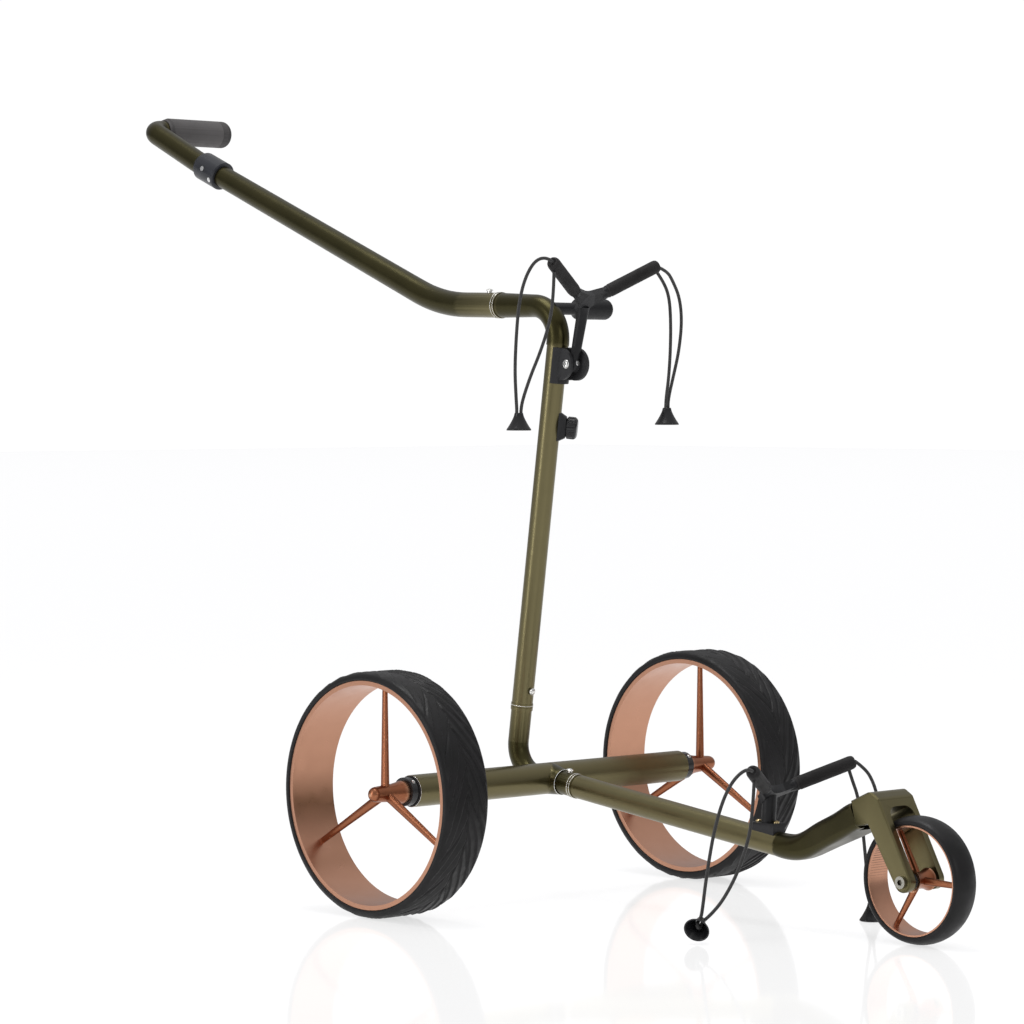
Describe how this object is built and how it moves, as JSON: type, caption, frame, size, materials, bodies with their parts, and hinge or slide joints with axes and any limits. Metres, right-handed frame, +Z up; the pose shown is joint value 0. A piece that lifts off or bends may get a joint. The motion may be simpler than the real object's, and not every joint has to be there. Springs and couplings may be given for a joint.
{
  "type": "electric golf trolley",
  "caption": "Electric golf trolley with a tubular frame that pulls apart, spoked wheels, a turning grip and folding bag brackets with elastic cords.",
  "frame": {"origin": "on the floor under the middle of the trolley's length and width", "axes": "+X to the left wheel, -Y forward to the front wheel, +Z up"},
  "size_m": [0.6076, 1.4514, 0.9908],
  "materials": {
    "frame_satin_olive": "satin",
    "ring_silver": "satin",
    "bolt_steel": "satin",
    "black_moulding": "matte",
    "circuit_board": "matte",
    "soft_sleeve": "matte",
    "grip_grey": "matte",
    "button_black": "satin",
    "copper_metal": "satin",
    "tyre_black": "matte",
    "screw_brass": "satin",
    "elastic_cord": "matte",
    "cap_black": "satin"
  },
  "bodies": {
    "chassis": {"axle_tube": "frame_satin_olive", "mast_stub": "frame_satin_olive", "front_stub": "frame_satin_olive", "stub_rings": "ring_silver", "battery_socket": "black_moulding", "controller_board": "circuit_board", "drive_motors": "bolt_steel", "drive_gearboxes": "bolt_steel", "end_caps": "black_moulding", "axle_bearings": "bolt_steel"},
    "front_button": {"front_lock_button": "ring_silver"},
    "right_drive": {"right_drive_shaft": "bolt_steel"},
    "left_drive": {"left_drive_shaft": "bolt_steel"},
    "right_catch": {"right_wheel_catch": "bolt_steel"},
    "left_catch": {"left_wheel_catch": "bolt_steel"},
    "right_wheel": {"right_spider": "copper_metal", "right_rim": "copper_metal", "right_tyre": "tyre_black"},
    "left_wheel": {"left_spider": "copper_metal", "left_rim": "copper_metal", "left_tyre": "tyre_black"},
    "front_arm": {"front_tube": "frame_satin_olive", "front_ring": "ring_silver", "front_beam": "frame_satin_olive", "front_axle": "bolt_steel", "front_axle_bolts": "bolt_steel", "front_axle_spacers": "black_moulding", "lower_bracket": "black_moulding", "lower_bracket_screws": "screw_brass", "lower_sleeves": "soft_sleeve", "lower_left_cord": "elastic_cord", "lower_right_cord": "elastic_cord", "lower_cord_caps": "cap_black"},
    "front_wheel": {"front_spider": "copper_metal", "front_rim": "copper_metal", "front_tyre": "tyre_black", "front_wheel_bearings": "bolt_steel"},
    "mast": {"mast_tube": "frame_satin_olive", "mast_rings": "ring_silver", "elbow": "frame_satin_olive", "side_peg": "black_moulding", "mast_clamp": "black_moulding", "pivot_bolt": "bolt_steel", "knob_saddle": "black_moulding"},
    "mast_button": {"mast_lock_button": "ring_silver"},
    "knob": {"mast_knob": "black_moulding"},
    "upper_bag_bracket": {"upper_bracket": "black_moulding", "upper_sleeves": "soft_sleeve", "upper_left_cord": "elastic_cord", "upper_right_cord": "elastic_cord", "upper_cord_caps": "cap_black"},
    "handle": {"handle_tube": "frame_satin_olive", "handle_ring": "ring_silver", "handle_collar": "black_moulding", "collar_screws": "bolt_steel"},
    "handle_button": {"handle_lock_button": "ring_silver"},
    "hook": {"hook_tube": "frame_satin_olive", "grip": "grip_grey"},
    "dial": {"speed_dial": "grip_grey"},
    "power_button_body": {"power_button": "button_black"}
  },
  "joints": [
    {"name": "right_wheel_turn", "type": "hinge", "parent": "chassis", "child": "right_drive", "pos_m": [0, -0.06208, 0.145], "axis": [1, 0, 0], "continuous": true},
    {"name": "right_catch_press", "type": "slide", "parent": "right_drive", "child": "right_catch", "axis": [0, 0.7071, -0.7071], "range_m": [0, 0.002], "stiffness_N_per_m": 300},
    {"name": "right_wheel_pull_off", "type": "slide", "parent": "right_drive", "child": "right_wheel", "axis": [-1, 0, 0], "range_m": [0, 0.045]},
    {"name": "left_wheel_turn", "type": "hinge", "parent": "chassis", "child": "left_drive", "pos_m": [0, -0.06208, 0.145], "axis": [1, 0, 0], "continuous": true},
    {"name": "left_catch_press", "type": "slide", "parent": "left_drive", "child": "left_catch", "axis": [0, 0.7071, -0.7071], "range_m": [0, 0.002], "stiffness_N_per_m": 300},
    {"name": "left_wheel_pull_off", "type": "slide", "parent": "left_drive", "child": "left_wheel", "axis": [1, 0, 0], "range_m": [0, 0.045]},
    {"name": "front_button_press", "type": "slide", "parent": "chassis", "child": "front_button", "axis": [0, 0.1295, -0.9916], "range_m": [0, 0.002], "stiffness_N_per_m": 300},
    {"name": "front_arm_pull_out", "type": "slide", "parent": "chassis", "child": "front_arm", "axis": [0, -0.9916, -0.1295], "range_m": [0, 0.06]},
    {"name": "front_wheel_turn", "type": "hinge", "parent": "front_arm", "child": "front_wheel", "pos_m": [0, -0.65328, 0.0724], "axis": [1, 0, 0], "continuous": true},
    {"name": "mast_pull_out", "type": "slide", "parent": "chassis", "child": "mast", "axis": [0, -0.1392, 0.9903], "range_m": [0, 0.09]},
    {"name": "mast_button_press", "type": "slide", "parent": "mast", "child": "mast_button", "axis": [0, 0.9903, 0.1392], "range_m": [0, 0.002], "stiffness_N_per_m": 300},
    {"name": "knob_turn", "type": "hinge", "parent": "mast", "child": "knob", "pos_m": [0, -0.06369, 0.5765], "axis": [0.6428, -0.7586, -0.1066], "range_deg": [0, 720]},
    {"name": "upper_bracket_fold", "type": "hinge", "parent": "mast", "child": "upper_bag_bracket", "pos_m": [0, -0.10248, 0.6514], "axis": [1, 0, 0], "range_deg": [0, 95]},
    {"name": "handle_pull_out", "type": "slide", "parent": "mast", "child": "handle", "axis": [0, 0.9997, 0.0262], "range_m": [0, 0.06]},
    {"name": "handle_button_press", "type": "slide", "parent": "handle", "child": "handle_button", "axis": [0, 0.0262, -0.9997], "range_m": [0, 0.002], "stiffness_N_per_m": 300},
    {"name": "grip_swing", "type": "hinge", "parent": "handle", "child": "hook", "pos_m": [0, 0.57851, 0.91309], "axis": [0, 0.9241, 0.3822], "range_deg": [-180, 0]},
    {"name": "speed_dial_turn", "type": "hinge", "parent": "hook", "child": "dial", "pos_m": [0, 0.70743, 0.97254], "axis": [1, 0, 0], "range_deg": [0, 270]},
    {"name": "power_button_press", "type": "slide", "parent": "dial", "child": "power_button_body", "axis": [-1, 0, 0], "range_m": [0, 0.002], "stiffness_N_per_m": 300}
  ]
}
